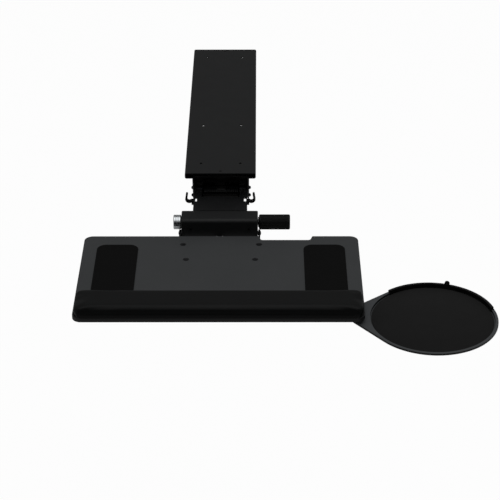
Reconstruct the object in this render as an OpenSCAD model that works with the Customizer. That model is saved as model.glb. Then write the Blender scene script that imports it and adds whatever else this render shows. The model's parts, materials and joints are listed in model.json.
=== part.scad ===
// Keyboard tray for the underside of a desk: a steel track, a swivel carriage, a parallel lift arm,
// a tilt head with a hand knob, a keyboard board with a palm rest, and a round mouse tray.
// Millimetres. The origin is the middle of the track's top face, +X right, +Y back, +Z up.

/* [Track] */
// Length of the track
track_l = 559; // [450:1:700]
// Width of the track
track_w = 128.8; // [124:0.2:150]
// Height of the track
track_h = 10.9; // [10:0.1:14]
// Sheet thickness of the track
track_t = 2; // [1.5:0.1:2.4]
// Width of each in-turned lip
track_lip = 16; // [12:0.5:22]
// Outside radius of the track's bends
track_r = 3.4; // [2.8:0.1:4]
// Diameter of the desk screw holes
desk_hole_d = 5; // [4:0.1:6]
// Spacing of the desk screws across the track
desk_hole_x = 72; // [60:1:80]
// Distance of the end desk screws from the track's ends
desk_hole_end = 40; // [30:1:60]
// Distance of the middle desk screws from the rear ones
desk_hole_y = 320; // [260:1:340]
// Length of an end stop along the track
stop_l = 8; // [6:0.5:12]
// Width of an end stop
stop_w = 40; // [24:1:60]
// Distance from a track end to its stop
stop_inset = 4; // [2:0.5:8]

/* [Carriage] */
// Length of the carriage
carriage_l = 130; // [100:1:150]
// Thickness of the carriage plate
carriage_t = 3; // [2.5:0.1:3.4]
// Width of a glide
glide_w = 11; // [9:0.5:13]
// Thickness of a glide beside the plate
glide_wall = 3; // [2:0.1:4]
// Diameter of the swivel hub
hub_d = 70; // [50:1:76]
// Distance that the hub stands below the track
hub_drop = 2; // [1.5:0.1:6]
// Thickness of the thrust washer
thrust_t = 1; // [0.8:0.1:2]
// Diameter of the swivel pin
swivel_d = 14; // [10:0.5:20]

/* [Swivel bracket] */
// Width over the cheeks
bracket_w = 103.4; // [98:0.2:116]
// Sheet thickness of the bracket
bracket_t = 2.5; // [2:0.1:3.5]
// Distance of the swivel axis behind the rear shafts
swivel_back = 25; // [22:0.5:40]
// Length of the top plate behind the swivel axis
bracket_back = 38; // [30:1:50]
// Length of the top plate in front of the rear shafts
bracket_front = 36; // [30:1:42]
// Radius of the cheeks round the lower shaft
cheek_r = 14; // [11:0.5:18]
// Distance from the top plate down to the upper shaft
shaft_drop = 42.7; // [40:0.1:60]

/* [Lift arm] */
// Length of the arm between its shafts
arm_l = 102; // [96:1:160]
// Distance between the upper and lower shafts
shaft_gap = 15.7; // [15.4:0.1:24]
// Diameter of the shafts
shaft_d = 8; // [6:0.2:8.4]
// Height of the arm's panel above its shafts
arm_rise = 9.7; // [9.4:0.1:11]
// Sheet thickness of the arm
arm_t = 1.8; // [1.5:0.1:2]
// Distance of the panel's back edge in front of the rear shafts
panel_back = 55; // [52:1:62]
// Half width of the notch in the panel's back edge
panel_notch = 34.6; // [25:0.2:36]
// Distance of the panel's ears in front of the rear shafts
panel_ear = 36; // [34:1:44]
// Width of a slot in the panel
slot_w = 4; // [3:0.2:5]
// Length of a slot in the panel
slot_l = 12.4; // [8:0.2:14]
// Distance of the slots and cable hooks in front of the rear shafts
hook_reach = 66; // [62:1:70]
// Thickness of a level link
link_t = 3; // [2:0.1:3.5]
// Diameter of a level link's eyes
link_eye_d = 13; // [12:0.2:14]
// Width of a level link between its eyes
link_w = 9; // [7:0.2:11]
// Wall of the bushes and spacer tubes
bush_wall = 1.5; // [1.2:0.1:1.7]
// Flange thickness of a bush
bush_flange = 1; // [0.8:0.1:1.4]

/* [Cable hooks] */
// Width of a hook along the arm
hook_w = 8; // [6:0.5:9]
// Thickness of a hook
hook_t = 3.8; // [3.2:0.1:4.2]
// Inside radius of a hook
hook_r = 3.8; // [3.4:0.1:4.2]
// Height of a hook
hook_h = 18.8; // [17:0.1:20]
// Distance of a hook's bottom below the panel
hook_sink = 5.1; // [4.5:0.1:6]

/* [Spring] */
// Wire diameter of the counterbalance springs
wire_d = 2.8; // [2.2:0.1:3]
// Mean radius of the springs
spring_r = 7.9; // [7.7:0.1:8]
// Turns of each spring
spring_turns = 7; // [5:1:8]
// Open gap between the turns
spring_gap = 0.7; // [0.6:0.05:0.9]

/* [Tilt head] */
// Length of the housing across the arm
head_w = 136.4; // [130:0.2:160]
// Depth of the housing from front to back
head_d = 40; // [38:0.5:50]
// Height of the housing
head_h = 40.4; // [40:0.2:50]
// Outside radius of the housing's long edges
head_r = 7; // [5:0.5:9]
// Wall of the housing
head_wall = 3; // [2.5:0.1:3.2]
// Distance from the front shafts to the housing
head_setback = 14; // [13:0.5:24]
// Height of the housing's top above the upper shaft
head_rise = 16.7; // [14:0.1:19]
// Plate thickness of the yoke that carries the front shafts
yoke_t = 3; // [2.5:0.1:4]
// Distance of the tilt axis behind the housing's front
tilt_inset = 14; // [12:0.5:15]
// Radius of the ears round the tilt pins
ear_r = 6.5; // [6:0.1:7]
// Thickness of the ears
ear_t = 3.5; // [2.5:0.1:4.5]
// Diameter of the tilt pins
tilt_pin_d = 7; // [5:0.2:8]
// Distance of the knob axis behind the tilt axis
screw_back = 4; // [3:0.5:7]
// Diameter of the tilt screw
screw_d = 10; // [8:0.5:11]
// Diameter of the hand knob
knob_d = 27; // [24:0.5:29]
// Length of the hand knob
knob_l = 55.4; // [40:0.2:70]
// Ribs round the hand knob
knob_ribs = 32; // [20:1:36]
// Depth of the knob's grooves
knob_groove = 0.8; // [0.5:0.1:1.2]
// Diameter of the end knob
end_knob_d = 26; // [22:0.5:27]
// Length of the end knob
end_knob_l = 13.4; // [8:0.2:20]
// Tilt angle each way
tilt_angle = 15; // [10:1:15]
// Travel of the tilt nut each way
nut_travel = 15; // [12:0.5:18]
// Height of the lever's ball above the tilt axis
lever_h = 9.5; // [9:0.1:10]
// Radius of the lever's ball
ball_r = 3; // [2.6:0.1:3.2]

/* [Board] */
// Width of the board
board_w = 483; // [420:1:600]
// Depth of the board
board_d = 275; // [250:1:320]
// Thickness of the board
board_t = 7.5; // [6:0.5:10]
// Corner radius of the board
board_r = 15; // [8:0.5:25]
// Distance of the board's back edge in front of the tilt axis
board_setback = 28; // [28:0.5:40]
// Height of the board's top above the tilt axis
board_rise = 9.5; // [8:0.1:11]
// Sideways shift of the board from the arm's middle
board_shift = 3.5; // [0:0.1:4]
// Left end of the finger notch from the board's middle
notch_x = 66; // [60:0.5:70]
// Length of the finger notch
notch_l = 95; // [80:1:120]
// Depth of the finger notch
notch_d = 13.6; // [8:0.2:15]
// Radius of the notch's inner corners
notch_r = 5; // [3:0.5:7]
// Sideways lean of the notch's ends
notch_lean = 3; // [0:0.5:6]
// Spacing of the rear board screws
rear_hole_x = 133.4; // [120:0.2:136]
// Spacing of the front board screws
front_hole_x = 119.8; // [100:0.2:136]
// Distance of the rear board screws from the back edge
rear_hole_y = 29.75; // [26:0.25:40]
// Distance between the two rows of board screws
hole_row = 52.4; // [40:0.2:60]
// Diameter of the board screws
board_screw_d = 5; // [4:0.1:6]
// Sheet thickness of the platform bracket
plate_t = 3; // [2.5:0.1:3.5]

/* [Pads and palm rest] */
// Width of a grip pad
grip_w = 72.2; // [60:0.2:80]
// Distance of a grip pad from the board's end
grip_inset = 24.8; // [18:0.2:40]
// Distance of the grip pads from the back edge
grip_back = 32.6; // [24:0.2:50]
// Corner radius of the grip pads
grip_r = 16; // [8:0.5:24]
// Thickness of the grip pads
grip_t = 1.5; // [1:0.1:2.5]
// Depth of the palm rest
palm_d = 60; // [50:0.5:70]
// Height of the palm rest with its base
palm_h = 19; // [15:0.5:22]
// Distance of the palm rest from the board's edges
palm_inset = 1.2; // [1:0.1:4]
// Thickness of the palm rest's base
palm_base_t = 2; // [1.5:0.1:3]
// Radius of the palm rest's front edge
palm_nose_r = 5.5; // [4:0.1:7]
// Radius of the palm rest's back edge
palm_back_r = 4.5; // [3:0.1:7]
// Radius of the palm rest's end edges
palm_end_r = 7; // [5:0.1:8]

/* [Mouse tray] */
// Radius of the round tray
tray_r = 108.3; // [100:0.1:125]
// Thickness of the tray's rim and stem
tray_t = 3.5; // [3:0.1:5]
// Depth of the dish that holds the mouse pad
dish_depth = 4; // [3:0.1:5]
// Distance of the tray's centre from the board's right end
tray_out = 112.3; // [110:0.1:130]
// Distance of the tray's centre from the board's back edge
tray_y = 251.3; // [240:0.1:265]
// Distance of the pivot from the board's right end
pivot_inset = 51.5; // [46:0.5:56]
// Distance of the pivot from the board's back edge
pivot_y = 234; // [228:1:238]
// Radius of the tray's stem
stem_r = 18; // [15:0.5:20]
// Distance from the pivot to the end of the stem
stem_l = 30; // [26:1:34]
// Width of the rim round the dish
rim_w = 5; // [4.6:0.1:8]
// Gap between the mouse pad and the dish's wall
pad_gap = 1.8; // [1.7:0.1:2.4]
// Thickness of the mouse pad
mouse_pad_t = 1.5; // [1:0.1:3]
// Diameter of the mouse pivot stud
stud_d = 8; // [6:0.2:10]
// Thickness of the spacer between the pivot plate and the tray
pivot_gap = 3.5; // [3:0.1:8]
// Width of the mouse guard's top
guard_t = 4.7; // [4:0.1:5]
// Height of the mouse guard above the tray's rim
guard_h = 4.7; // [4.2:0.1:7]
// First angle of the guard round the tray, from the right
guard_from = 14; // [10:1:30]
// Arc of the guard
guard_arc = 116; // [90:1:118]
// Angle of the cord clip round the tray
clip_at = 72; // [60:1:100]
// Diameter of the cord clip's ring
clip_d = 8.6; // [6.6:0.1:10]
// Diameter of the cord clip's hole
clip_bore = 2.8; // [2.2:0.1:3.2]

/* [Fits] */
// Radial clearance of fixed pins
fit = 0.05; // [0.03:0.01:0.08]
// Radial clearance of turning pins
run = 0.08; // [0.05:0.01:0.1]
// Gap between moving flat faces
side_gap = 0.6; // [0.4:0.05:0.7]
// Gap of the glides in the track
slide_gap = 0.3; // [0.25:0.05:0.4]

/* [Hidden] */
$fn = 64;
// Length by which a cut runs past the face that it opens
over = 1;
// Distance of a straight side inside the tangent of the round end that it meets
tangent_lap = 0.06;

black = "#1c1d1f";
deep_black = "#101112";
steel = "#8d9196";
nylon = "#d8d6cc";

// Track and carriage
track_in = track_w / 2 - track_t;
track_mid = -track_h / 2;
mouth_half = track_w / 2 - track_lip;
bend_in_r = track_r / 2;
glide_h = track_h - 2 * track_t - 2 * slide_gap;
glide_out = track_in - slide_gap;
plate_half = glide_out - glide_wall;
carriage_front = -track_l / 2 + stop_inset + stop_l + side_gap;
swivel_y = carriage_front + carriage_l / 2;
plate_top = track_mid + carriage_t / 2;
plate_bottom = track_mid - carriage_t / 2;
hub_bottom = -track_h - hub_drop;
bracket_top = hub_bottom - thrust_t;
pin_head_t = -plate_top - track_t - side_gap;
nut_t = 6;
nut_washer_t = 1.2;
nut_tail = 2;
swivel_nut_top = bracket_top - bracket_t - side_gap / 2;
swivel_pin_low = swivel_nut_top - nut_washer_t - nut_t - nut_tail;
stop_boss_r = 2.5;
desk_rear_row = track_l / 2 - desk_hole_end;
desk_rows = [-desk_rear_row, desk_rear_row - desk_hole_y, desk_rear_row];

// Shafts: [y, z] of each, with the arm level
rear_y = swivel_y - swivel_back;
front_y = rear_y - arm_l;
upper_z = bracket_top - shaft_drop;
lower_z = upper_z - shaft_gap;
rear_upper = [rear_y, upper_z];
rear_lower = [rear_y, lower_z];
front_upper = [front_y, upper_z];
front_lower = [front_y, lower_z];
shaft_r = shaft_d / 2;
shaft_end_r = 0.7 * shaft_r;
tube_r = shaft_r + fit + bush_wall;

// Web of the swivel bracket, behind the springs and under the swivel pin
tail_l = 2 * wire_d;
web_y = rear_y + norm([spring_r, tail_l]) + wire_d / 2 + 3 * side_gap;
web_top = swivel_pin_low - 3 * side_gap;
web_low = lower_z - cheek_r + bracket_t;

// Layers across the arm, each half width taken from the one outside it
cheek_out = bracket_w / 2;
cheek_in = cheek_out - bracket_t;
arm_out = cheek_in - side_gap;
arm_in = arm_out - arm_t;
yoke_out = arm_in - bush_flange - side_gap;
yoke_in = yoke_out - yoke_t;
link_out = yoke_in - side_gap;
link_in = link_out - link_t;
panel_z = upper_z + arm_rise;
hook_y = rear_y - hook_reach;
hook_z = panel_z - hook_sink + hook_r + hook_t;
hook_x = arm_out + hook_r + hook_t;
hook_low = panel_z - hook_sink;
hook_foot_low = hook_low - hook_t;
hook_stud = [hook_y, (hook_foot_low + panel_z) / 2];

// Springs: start and end of the coil, and the leg under the panel
spring_pitch = wire_d + spring_gap;
spring_end = min(link_in, panel_notch) - wire_d / 2 - side_gap;
leg_lap = 7;
leg_y = -panel_back - leg_lap;
leg_z = arm_rise - arm_t - wire_d / 2 - side_gap;
rings_per_turn = 8;
wire_sides = 6;

// Tilt head
head_back = front_y - head_setback;
head_front = head_back - head_d;
head_top = upper_z + head_rise;
head_bottom = head_top - head_h;
head_mid_z = head_top - head_h / 2;
head_half = head_w / 2;
cap_half = head_half - head_wall;
housing_screw_x = 52;
housing_screw_up = 2.6;
housing_screw_r = 1.5;
tilt_y = head_front + tilt_inset;
tilt_z = head_bottom + ear_r;
ear_in = head_half + side_gap;
ear_out = ear_in + ear_t;
knob_gap = 0.4;
screw_y = tilt_y + screw_back;
screw_z = tilt_z + ear_r + knob_gap + max(knob_d, end_knob_d) / 2;
screw_r = screw_d / 2;
knob_start = head_half + 3 * side_gap;
knob_floor = 4;
end_knob_floor = 2;

// Board and what it carries
board_back = tilt_y - board_setback;
board_front = board_back - board_d;
board_top = tilt_z + board_rise;
board_bottom = board_top - board_t;
plate_low = board_bottom - plate_t;
front_hole_y = rear_hole_y + hole_row;
plate_margin = 12;
plate_front = board_back - front_hole_y - plate_margin;
plate_w = max(rear_hole_x, front_hole_x) / 2 + plate_margin;
tongue_front = board_back - rear_hole_y + plate_margin;
tongue_back = board_back + 6;
flange_r = 5;
screw_head_h = 2.6;
screw_head_slope = 0.9;
screw_room = 0.4;
palm_front = board_front + palm_inset;
palm_back = palm_front + palm_d;
palm_half = board_w / 2 - palm_inset;
palm_r = board_r - palm_inset;
palm_z = board_top + palm_base_t;
palm_seat = 0.1;

// Tilt lever, and the nut that drives it; the lever's top edge sets the housing's window
lever_r = 3.2;
lever_half = 5;
lever_room = lever_half + side_gap;
lever_foot = [tongue_back + side_gap + lever_r, plate_low - 3 * lever_r];
lever_lean = atan((tilt_z - lever_foot[1]) / (tilt_y - lever_foot[0])) - tilt_angle;
window_top = tilt_z + lever_r / cos(lever_lean) - (tilt_inset - head_r) * tan(lever_lean) + side_gap;
ball_z = tilt_z + lever_h;
slot_angle = atan(lever_h * sin(tilt_angle) / nut_travel);
slot_end = nut_travel + over;
nut_wall = 4;
nut_half = nut_travel + ball_r + nut_wall;
nut_front = head_front + head_r;
nut_back = screw_y + screw_r + nut_wall;
nut_top = screw_z + screw_r + nut_wall;
nut_bottom = ball_z - ball_r + side_gap / 2;

// Mouse tray, from the board's right end and back edge
tray_at = [board_shift + board_w / 2 + tray_out, board_back - tray_y];
pivot_at = [board_shift + board_w / 2 - pivot_inset, board_back - pivot_y];
stem_at = pivot_at + stem_l * (tray_at - pivot_at) / norm(tray_at - pivot_at);
pivot_low = board_bottom - plate_t;
tray_top = pivot_low - pivot_gap;
tray_low = tray_top - tray_t;
dish_r = tray_r - rim_w;
dish_floor = tray_top - dish_depth;
dish_t = 2;
dish_wall = 1.5;
mouse_pad_r = dish_r - pad_gap;
stud_r = stud_d / 2;
pivot_half = [30, 22];
pivot_bolt = [24, 16];
pivot_screw_r = 1.8;
pivot_screw_in = 0.6 * board_t;
tray_washer_t = 0.8;
washer_r = stud_r + 8;
guard_top = tray_top + guard_h;
guard_fit = 0.15;
skirt_t = 1.2;
guard_in = dish_r - guard_fit - skirt_t;
guard_out = guard_in + guard_t;
peg_r = 1.2;
peg_l = 2.2;

// Point where the tangent from p touches the circle at c: side is 1 for left of the line p to c,
// and -1 for right of it
function touch(p, c, r, side) =
    let (v = p - c, a = atan2(v[1], v[0]) + -side * acos(r / norm(v))) c + r * [cos(a), sin(a)];

// Helical wire round the X axis: a straight leg, the turns, and a straight tail
function spring_path() =
    let (
        leg = [leg_y, leg_z],
        top = touch(leg, [0, 0], spring_r, 1),
        from = atan2(top[1], top[0]),
        steps = spring_turns * rings_per_turn,
        tail_from = from - 360 * spring_turns
    ) concat(
        [for (s = [0, 0.5, 1]) let (p = leg + s * (top - leg)) [spring_end, p[0], p[1]]],
        [for (i = [1:steps]) let (a = from - 360 * i / rings_per_turn)
            [spring_end - spring_pitch * i / rings_per_turn, spring_r * cos(a), spring_r * sin(a)]],
        [let (a = tail_from) [spring_end - spring_pitch * spring_turns,
            spring_r * cos(a) + tail_l * sin(a), spring_r * sin(a) - tail_l * cos(a)]]
    );

function unit(v) = v / norm(v);

// Rings of the wire, square to its path and kept level with the X axis
function wire_ring(path, i) =
    let (
        last = len(path) - 1,
        along = unit(path[min(i + 1, last)] - path[max(i - 1, 0)]),
        side = unit(cross(along, [1, 0, 0])),
        up = cross(side, along)
    ) [for (k = [0:wire_sides - 1]) let (a = 360 * k / wire_sides)
        path[i] + wire_d / 2 * (cos(a) * side + sin(a) * up)];

// Least clear gap between turns that lie side by side
function least_gap(path) =
    let (n = len(path)) min([for (i = [0:n - 1]) for (j = [i + rings_per_turn - 2:1:n - 1])
        norm(path[i] - path[j])]) - wire_d;

// Flat bar with round ends of different size
module bar2d(a, ra, b, rb) {
    turn = atan2(b[1] - a[1], b[0] - a[0]);
    lean = acos((ra - rb) / norm(b - a));
    left = [cos(turn + lean), sin(turn + lean)];
    right = [cos(turn - lean), sin(turn - lean)];
    in_a = ra - tangent_lap;
    in_b = rb - tangent_lap;
    translate(a) circle(ra);
    translate(b) circle(rb);
    polygon([a + in_a * left, b + in_b * left, b + in_b * right, a + in_a * right]);
}

module round_rect(low, high, r) {
    translate(low + [r, 0]) square(high - low - [2 * r, 0]);
    translate(low + [0, r]) square(high - low - [0, 2 * r]);
    for (x = [low[0] + r, high[0] - r], y = [low[1] + r, high[1] - r]) translate([x, y]) circle(r);
}

// Plate drawn in the YZ plane, from x0 to x1
module side_plate(x0, x1) {
    translate([x0, 0, 0]) rotate([90, 0, 90]) linear_extrude(x1 - x0) children();
}

// The same plate on both sides of the middle
module both_sides(x0, x1) {
    side_plate(x0, x1) children();
    side_plate(-x1, -x0) children();
}

// Rod along X at a [y, z] place
module rod(x0, x1, at, r) {
    translate([x0, at[0], at[1]]) rotate([0, 90, 0]) cylinder(r = r, h = x1 - x0);
}

module tube(x0, x1, at, r_out, r_in) {
    difference() {
        rod(x0, x1, at, r_out);
        rod(x0 - over, x1 + over, at, r_in);
    }
}

// Low domed rivet head on the +X side of x0
module dome(x0, at, r, h) {
    ball = (r * r + h * h) / (2 * h);
    translate([x0, at[0], at[1]]) rotate([0, 90, 0]) rotate_extrude() intersection() {
        translate([0, h - ball]) circle(ball);
        square([r, h]);
    }
}

// Domed heads of radius r against the faces at x = half and -half
module both_heads(half, at, r) {
    head_h = 0.9 * shaft_r;
    dome(half, at, r, head_h);
    mirror([1, 0, 0]) dome(half, at, r, head_h);
}

// Shaft between the cheeks, with turned-down ends that are riveted outside them
module cheek_shaft(at) {
    lap = 0.5;
    rod(-cheek_in, cheek_in, at, shaft_r);
    rod(-cheek_out, cheek_out, at, shaft_end_r);
    both_heads(cheek_out, at, shaft_end_r + lap);
}

module drill(at, z0, z1, r) {
    translate([at[0], at[1], z0]) cylinder(r = r, h = z1 - z0);
}

// Track
module track_profile() {
    difference() {
        round_rect([-track_w / 2, -track_h], [track_w / 2, 0], track_r);
        round_rect([-track_in, track_t - track_h], [track_in, -track_t], bend_in_r);
        translate([-mouth_half, -track_h - over]) square([2 * mouth_half, track_t + 2 * over]);
    }
}

module track_rail() {
    color(black) difference() {
        rotate([90, 0, 0]) linear_extrude(track_l, center = true) track_profile();
        for (x = [-1, 1], y = desk_rows)
            drill([x * desk_hole_x / 2, y], -track_t - over, over, desk_hole_d / 2);
        for (y = (track_l / 2 - stop_inset - stop_l / 2) * [-1, 1])
            drill([0, y], -track_t - over, over, stop_boss_r + fit);
    }
}

module end_stop(y0) {
    color(deep_black) {
        translate([-stop_w / 2, y0, -track_t - glide_h]) cube([stop_w, stop_l, glide_h]);
        drill([0, y0 + stop_l / 2], -track_t - over, -track_t / 4, stop_boss_r);
    }
}

module track_front_stop() end_stop(-track_l / 2 + stop_inset);

module track_rear_stop() end_stop(track_l / 2 - stop_inset - stop_l);

// Carriage
module carriage_plate() {
    color(steel) difference() {
        translate([0, swivel_y, plate_bottom]) linear_extrude(carriage_t)
            round_rect([-plate_half, -carriage_l / 2], [plate_half, carriage_l / 2], glide_wall);
        drill([0, swivel_y], plate_bottom - over, plate_top + over, swivel_d / 2 + fit);
    }
}

module carriage_glides() {
    length = carriage_l - 2 * glide_wall;
    low = track_mid - glide_h / 2;
    high = low + glide_h;
    glide_in = glide_out - glide_w;
    module glide() {
        rotate([90, 0, 0]) linear_extrude(length, center = true) difference() {
            polygon([
                [glide_in, low], [glide_out - bend_in_r, low], [glide_out, low + bend_in_r],
                [glide_out, high - bend_in_r], [glide_out - bend_in_r, high], [glide_in, high]
            ]);
            translate([0, plate_bottom - fit]) square([plate_half + fit, carriage_t + 2 * fit]);
        }
    }
    color(nylon) translate([0, swivel_y, 0]) {
        glide();
        mirror([1, 0, 0]) glide();
    }
}

module swivel_hub() {
    step = 3;
    color(steel) translate([0, swivel_y, 0]) difference() {
        union() {
            translate([0, 0, hub_bottom]) cylinder(d = hub_d, h = step);
            translate([0, 0, hub_bottom]) cylinder(d = hub_d - 2 * step, h = plate_bottom - hub_bottom);
        }
        translate([0, 0, hub_bottom - over])
            cylinder(r = swivel_d / 2 + fit, h = plate_bottom - hub_bottom + 2 * over);
    }
}

module thrust_washer() {
    color(nylon) translate([0, swivel_y, bracket_top]) difference() {
        cylinder(d = hub_d - 2, h = thrust_t);
        translate([0, 0, -over]) cylinder(r = swivel_d / 2 + fit, h = thrust_t + 2 * over);
    }
}

module swivel_pin() {
    head_rim = 5;
    color(steel) {
        drill([0, swivel_y], plate_top, plate_top + pin_head_t, swivel_d / 2 + head_rim);
        drill([0, swivel_y], swivel_pin_low, plate_top, swivel_d / 2);
    }
}

// Washer and hexagon nut under a turning plate whose lower face is at z
module washer_and_nut(at, z, r) {
    corner_r = 1.85 * r;
    washer_rim = 2;
    nut_top = z - nut_washer_t;
    difference() {
        union() {
            drill(at, nut_top, z, corner_r + washer_rim);
            drill(at, nut_top - nut_t, nut_top, corner_r, $fn = 6);
        }
        drill(at, nut_top - nut_t - over, z + over, r + fit);
    }
}

module swivel_nut() {
    color(steel) washer_and_nut([0, swivel_y], swivel_nut_top, swivel_d / 2);
}

// Swivel bracket
module cheek_outline() {
    front = [rear_y - bracket_front, bracket_top];
    back = [swivel_y + bracket_back, bracket_top];
    r = cheek_r - tangent_lap;
    low = lower_z - r;
    translate(rear_lower) circle(cheek_r);
    polygon([
        front, touch(front, rear_lower, r, -1), rear_lower, [rear_y, low], [web_y + bracket_t, low], back
    ]);
}

module swivel_bracket() {
    color(black) difference() {
        union() {
            translate([-cheek_out, rear_y - bracket_front, bracket_top - bracket_t])
                cube([bracket_w, bracket_front + swivel_back + bracket_back, bracket_t]);
            both_sides(cheek_in, cheek_out) cheek_outline();
            translate([-cheek_out, web_y, web_low]) cube([bracket_w, bracket_t, web_top - web_low]);
        }
        drill([0, swivel_y], bracket_top - bracket_t - over, bracket_top + over, swivel_d / 2 + run);
        for (at = [rear_upper, rear_lower]) rod(-cheek_out - over, cheek_out + over, at, shaft_end_r + fit);
    }
}

module rear_upper_shaft() { color(deep_black) cheek_shaft(rear_upper); }

module rear_lower_shaft() { color(deep_black) cheek_shaft(rear_lower); }

module rear_spacer_tube() {
    half = link_in - side_gap / 2;
    color(deep_black) tube(-half, half, rear_lower, tube_r, shaft_r + fit);
}

module link_spacers() {
    color(deep_black) for (s = [0, 1]) mirror([s, 0, 0])
        tube(link_out + side_gap / 2, cheek_in, rear_lower, tube_r, shaft_r + fit);
}

module spring_sleeve() {
    color(deep_black) tube(-spring_end, spring_end, rear_upper, tube_r, shaft_r + fit);
}

// Lift arm
// The side plates are relieved where the lower shaft's spacers pass as the arm goes down
module lift_arm() {
    front_lap = 5;
    lift_down = 42;
    relief_r = tube_r + side_gap;
    lowest = rear_upper - shaft_gap * [sin(lift_down), cos(lift_down)];
    color(black) difference() {
        union() {
            both_sides(arm_in, arm_out) bar2d(rear_upper, arm_rise, front_upper, arm_rise);
            translate([0, 0, panel_z - arm_t]) linear_extrude(arm_t) difference() {
                translate([-arm_out, front_y - front_lap])
                    square([2 * arm_out, arm_l + front_lap - panel_ear]);
                translate([-panel_notch, rear_y - panel_back]) square([2 * panel_notch, panel_back]);
                for (x = [-arm_in, arm_in - slot_w])
                    translate([x, hook_y - slot_l / 2]) square([slot_w, slot_l]);
            }
        }
        for (at = [rear_upper, front_upper]) rod(-arm_out - over, arm_out + over, at, tube_r + fit);
        rod(-arm_out - over, arm_out + over, hook_stud, stop_boss_r + fit);
        side_plate(-arm_out - over, arm_out + over)
            bar2d(rear_lower, relief_r, lowest, relief_r);
    }
}

module arm_bushes() {
    flange_rim = 2;
    color(deep_black) for (at = [rear_upper, front_upper], s = [0, 1]) mirror([s, 0, 0]) difference() {
        union() {
            rod(arm_in, arm_out, at, tube_r);
            rod(arm_in - bush_flange, arm_in, at, tube_r + flange_rim);
        }
        rod(arm_in - bush_flange - over, arm_out + over, at, shaft_r + run);
    }
}

// Hook that holds a cable beside the arm: a pressed stud, a foot, a round bottom and a leaning upright
module cable_hook() {
    lean = 1.4;
    wide = 2 * (hook_r + hook_t);
    tip = [hook_x + hook_r + hook_t / 2 - lean, hook_low + hook_h - hook_t / 2];
    color(deep_black) {
        translate([0, hook_y + hook_w / 2, 0]) rotate([90, 0, 0]) linear_extrude(hook_w) {
            difference() {
                translate([hook_x, hook_z]) circle(hook_r + hook_t);
                translate([hook_x, hook_z]) circle(hook_r);
                translate([hook_x, hook_z]) square(wide);
                translate([hook_x - wide, panel_z]) square(wide);
            }
            bar2d([hook_x + hook_r + hook_t / 2, hook_z], hook_t / 2, tip, hook_t / 2);
            translate([arm_out, hook_foot_low]) square([hook_t, panel_z - hook_foot_low]);
        }
        rod(arm_in, arm_out + hook_t / 2, hook_stud, stop_boss_r);
    }
}

module cable_hook_right() { cable_hook(); }

module cable_hook_left() { mirror([1, 0, 0]) cable_hook(); }

module spring() {
    path = spring_path();
    n = len(path);
    echo(spring_least_gap = least_gap(path));
    points = [for (i = [0:n - 1]) each wire_ring(path, i)];
    sides = [for (i = [0:n - 2], k = [0:wire_sides - 1])
        let (a = i * wire_sides + k, b = i * wire_sides + (k + 1) % wire_sides)
            each [[a, b, b + wire_sides], [a, b + wire_sides, a + wire_sides]]];
    first = [for (k = [1:wire_sides - 2]) [0, k + 1, k]];
    end = (n - 1) * wire_sides;
    last = [for (k = [1:wire_sides - 2]) [end, end + k, end + k + 1]];
    color(steel) translate([0, rear_y, upper_z]) polyhedron(points, concat(sides, first, last));
}

module spring_right() { spring(); }

module spring_left() { mirror([1, 0, 0]) spring(); }

// Level links, under the arm and parallel to it
module level_link() {
    open_pivot = 0.3;
    color(black) difference() {
        union() {
            rod(link_in, link_out, rear_lower, link_eye_d / 2);
            rod(link_in, link_out, front_lower, link_eye_d / 2);
            translate([link_in, front_y, lower_z - link_w / 2]) cube([link_t, arm_l, link_w]);
        }
        rod(link_in - over, link_out + over, rear_lower, shaft_r + run);
        rod(link_in - over, link_out + over, front_lower, shaft_r + open_pivot);
    }
}

module level_link_right() { level_link(); }

module level_link_left() { mirror([1, 0, 0]) level_link(); }

// Tilt head
module head_outline(inset) {
    low = [head_front + inset, head_bottom + inset];
    round_rect(low, [head_back - inset, head_top - inset], head_r - inset);
}

module head_housing() {
    color(black) difference() {
        side_plate(-head_half, head_half) difference() {
            head_outline(0);
            head_outline(head_wall);
        }
        translate([-lever_room, head_front - over, head_bottom - over])
            cube([2 * lever_room, tilt_inset + lever_r + side_gap + over, head_wall + side_gap + over]);
        translate([-lever_room, head_front - over, head_bottom - over])
            cube([2 * lever_room, head_r + side_gap + over, window_top - head_bottom + over]);
        for (x = [-1, 1]) translate([x * housing_screw_x, head_front - over, head_mid_z + housing_screw_up])
            rotate([-90, 0, 0]) cylinder(r = housing_screw_r + fit, h = head_wall + 2 * over);
    }
}

module housing_screws() {
    head_r = 2.6;
    head_h = 1.2;
    color(steel) for (x = [-1, 1])
        translate([x * housing_screw_x, head_front, head_mid_z + housing_screw_up]) rotate([90, 0, 0]) {
            translate([0, 0, -head_wall]) cylinder(r = housing_screw_r, h = head_wall);
            cylinder(r = head_r, h = head_h);
        }
}

module head_yoke() {
    boss = 1.5 * shaft_r;
    low = lower_z - boss;
    color(black) difference() {
        union() {
            translate([-yoke_out, head_back, low]) cube([2 * yoke_out, yoke_t, upper_z - low]);
            both_sides(yoke_in, yoke_out) {
                bar2d(front_upper, boss, front_lower, boss);
                translate([head_back, low]) square([head_setback, upper_z - low]);
            }
        }
        for (at = [front_upper, front_lower]) rod(-yoke_out - over, yoke_out + over, at, shaft_r + fit);
    }
}

module end_cap() {
    color(deep_black) difference() {
        side_plate(cap_half, head_half) head_outline(head_wall + fit);
        rod(cap_half - over, head_half + over, [screw_y, screw_z], screw_r + run);
        rod(cap_half - over, head_half + over, [tilt_y, tilt_z], tilt_pin_d / 2 + run);
    }
}

module end_cap_right() { end_cap(); }

module end_cap_left() { mirror([1, 0, 0]) end_cap(); }

module front_upper_shaft() {
    half = arm_out + side_gap;
    color(deep_black) {
        rod(-half, half, front_upper, shaft_r);
        both_heads(half, front_upper, 1.2 * shaft_r);
    }
}

module front_lower_shaft() {
    color(steel) rod(-yoke_out, yoke_out, front_lower, shaft_r);
}

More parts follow.
